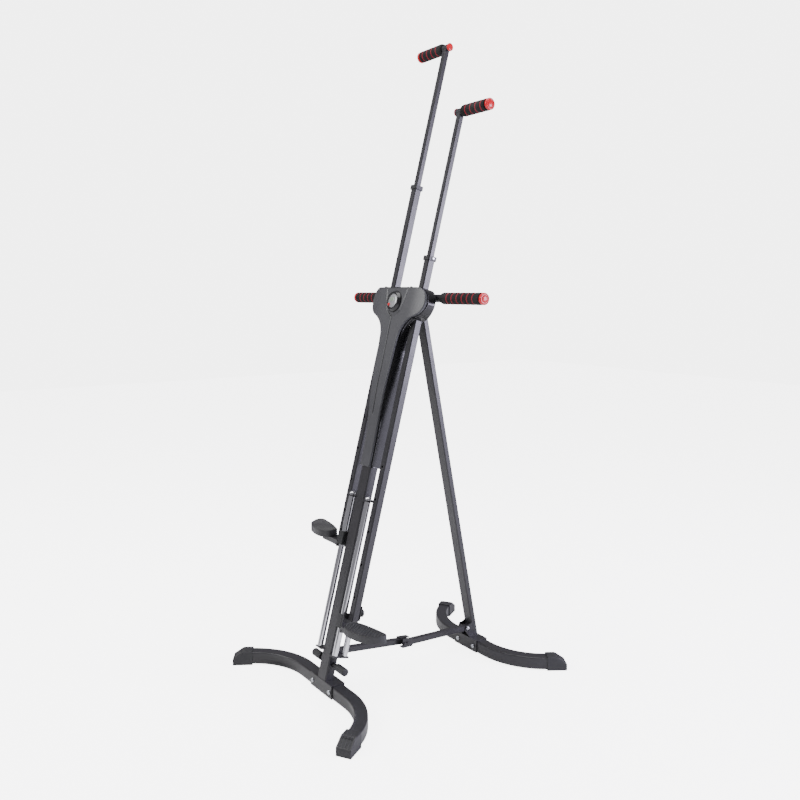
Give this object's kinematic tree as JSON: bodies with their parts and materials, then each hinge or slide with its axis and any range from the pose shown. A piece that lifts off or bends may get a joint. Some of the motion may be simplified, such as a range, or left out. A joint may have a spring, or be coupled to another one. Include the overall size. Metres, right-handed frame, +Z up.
{
  "type": "stair climber",
  "caption": "Folding vertical stair climber with counter-moving pedals and hand grips on sliding arms, a fixed handlebar, a small display and a hinged rear leg.",
  "frame": {"origin": "on the floor, at the middle of the footprint", "axes": "+Z up; +X to the right of a user who faces the machine; +Y from the user towards the rear leg"},
  "size_m": [0.7398, 0.8998, 2.0078],
  "materials": {
    "frame_paint": "semi-gloss black powder coat",
    "arm_paint": "semi-gloss black powder coat",
    "rod_chrome": "polished hard chrome",
    "zinc_bolt": "bright zinc plate",
    "cover_plastic": "satin dark grey moulding",
    "black_plastic": "textured black moulding",
    "pedal_plastic": "textured dark grey moulding",
    "display_plastic": "glossy bezel round a grey display",
    "foot_rubber": "moulded rubber",
    "grip_foam": "closed-cell foam sleeve",
    "red_plastic": "glossy red moulding"
  },
  "bodies": {
    "frame": {"column_post": "frame_paint", "front_foot_tube": "frame_paint", "front_foot_cap_left": "foot_rubber", "front_foot_cap_right": "foot_rubber", "front_foot_bolt_left": "zinc_bolt", "front_foot_bolt_right": "zinc_bolt", "left_front_rod": "rod_chrome", "left_rear_rod": "rod_chrome", "right_front_rod": "rod_chrome", "right_rear_rod": "rod_chrome", "bumper_bar": "frame_paint", "bumper_left": "foot_rubber", "bumper_right": "foot_rubber", "front_cover": "cover_plastic", "rear_cover": "black_plastic", "console": "display_plastic", "fixed_handlebar": "frame_paint", "bar_grip_left": "grip_foam", "bar_grip_right": "grip_foam", "bar_cap_left": "red_plastic", "bar_cap_right": "red_plastic", "pulley_axle": "zinc_bolt", "hinge_bracket": "frame_paint", "hinge_pin": "zinc_bolt", "brace_front_bolt": "zinc_bolt"},
    "pulley": {"rope_pulley": "black_plastic"},
    "console_key": {"console_button": "red_plastic"},
    "rear_leg": {"rear_leg": "frame_paint", "rear_foot_tube": "frame_paint", "rear_foot_cap_left": "foot_rubber", "rear_foot_cap_right": "foot_rubber", "rear_foot_bolt_left": "zinc_bolt", "rear_foot_bolt_right": "zinc_bolt", "brace_rear_bolt": "zinc_bolt"},
    "brace_front": {"brace_front_link": "frame_paint", "knuckle_left": "frame_paint"},
    "brace_rear": {"brace_rear_link": "frame_paint", "knuckle_right": "frame_paint"},
    "left_arm": {"left_arm_tube": "arm_paint", "left_slider_block": "black_plastic", "left_arm_bracket": "arm_paint", "left_pedal": "pedal_plastic", "left_collar": "black_plastic"},
    "left_handle": {"left_handle_tube": "arm_paint", "left_hand_grip": "grip_foam", "left_grip_cap": "red_plastic", "left_grip_plug": "red_plastic"},
    "left_knob": {"left_pull_knob": "black_plastic"},
    "left_lock": {"left_lock_button": "zinc_bolt"},
    "right_arm": {"right_arm_tube": "arm_paint", "right_slider_block": "black_plastic", "right_arm_bracket": "arm_paint", "right_pedal": "pedal_plastic", "right_collar": "black_plastic"},
    "right_handle": {"right_handle_tube": "arm_paint", "right_hand_grip": "grip_foam", "right_grip_cap": "red_plastic", "right_grip_plug": "red_plastic"},
    "right_knob": {"right_pull_knob": "black_plastic"},
    "right_lock": {"right_lock_button": "zinc_bolt"}
  },
  "joints": [
    {"name": "left_arm_slide", "type": "slide", "parent": "frame", "child": "left_arm", "axis": [0, 0.2531, 0.9674], "range_m": [-0.315, 0.08]},
    {"name": "right_arm_slide", "type": "slide", "parent": "frame", "child": "right_arm", "axis": [0, 0.2531, 0.9674], "range_m": [-0.08, 0.315]},
    {"name": "pulley_spin", "type": "hinge", "parent": "frame", "child": "pulley", "pos_m": [0, -0.01447, 1.17683], "axis": [0, -0.9674, 0.2531], "range_deg": [-115, 452]},
    {"name": "console_press", "type": "slide", "parent": "frame", "child": "console_key", "axis": [0, 0.9674, -0.2531], "range_m": [0, 0.0015], "stiffness_N_per_m": 300, "springref_m": -0.0005},
    {"name": "rear_leg_fold", "type": "hinge", "parent": "frame", "child": "rear_leg", "pos_m": [0, 0.0688, 1.165], "axis": [-1, 0, 0], "range_deg": [0, 21]},
    {"name": "brace_front_swing", "type": "hinge", "parent": "frame", "child": "brace_front", "pos_m": [0, -0.2389, 0.117], "axis": [1, 0, 0], "range_deg": [0, 66.9]},
    {"name": "brace_rear_swing", "type": "hinge", "parent": "rear_leg", "child": "brace_rear", "pos_m": [0, 0.2591, 0.079], "axis": [-1, 0, 0], "range_deg": [0, 73.37]},
    {"name": "left_handle_slide", "type": "slide", "parent": "left_arm", "child": "left_handle", "axis": [0, 0.2531, 0.9674], "range_m": [-0.3, 0]},
    {"name": "left_knob_pull", "type": "slide", "parent": "left_arm", "child": "left_knob", "axis": [0, 0.9674, -0.2531], "range_m": [0, 0.008], "stiffness_N_per_m": 600, "springref_m": -0.002},
    {"name": "left_lock_press", "type": "slide", "parent": "left_arm", "child": "left_lock", "axis": [1, 0, 0], "range_m": [0, 0.0022], "stiffness_N_per_m": 400, "springref_m": -0.0005},
    {"name": "right_handle_slide", "type": "slide", "parent": "right_arm", "child": "right_handle", "axis": [0, 0.2531, 0.9674], "range_m": [-0.3, 0]},
    {"name": "right_knob_pull", "type": "slide", "parent": "right_arm", "child": "right_knob", "axis": [0, 0.9674, -0.2531], "range_m": [0, 0.008], "stiffness_N_per_m": 600, "springref_m": -0.002},
    {"name": "right_lock_press", "type": "slide", "parent": "right_arm", "child": "right_lock", "axis": [-1, 0, 0], "range_m": [0, 0.0022], "stiffness_N_per_m": 400, "springref_m": -0.0005}
  ],
  "couplings": [
    {"joint": "right_arm_slide", "follows": "left_arm_slide", "ratio": -1},
    {"joint": "pulley_spin", "follows": "left_arm_slide", "rad_per_m": -25},
    {"joint": "brace_front_swing", "follows": "rear_leg_fold", "ratio": 3.1761},
    {"joint": "brace_rear_swing", "follows": "rear_leg_fold", "ratio": 3.4841}
  ]
}
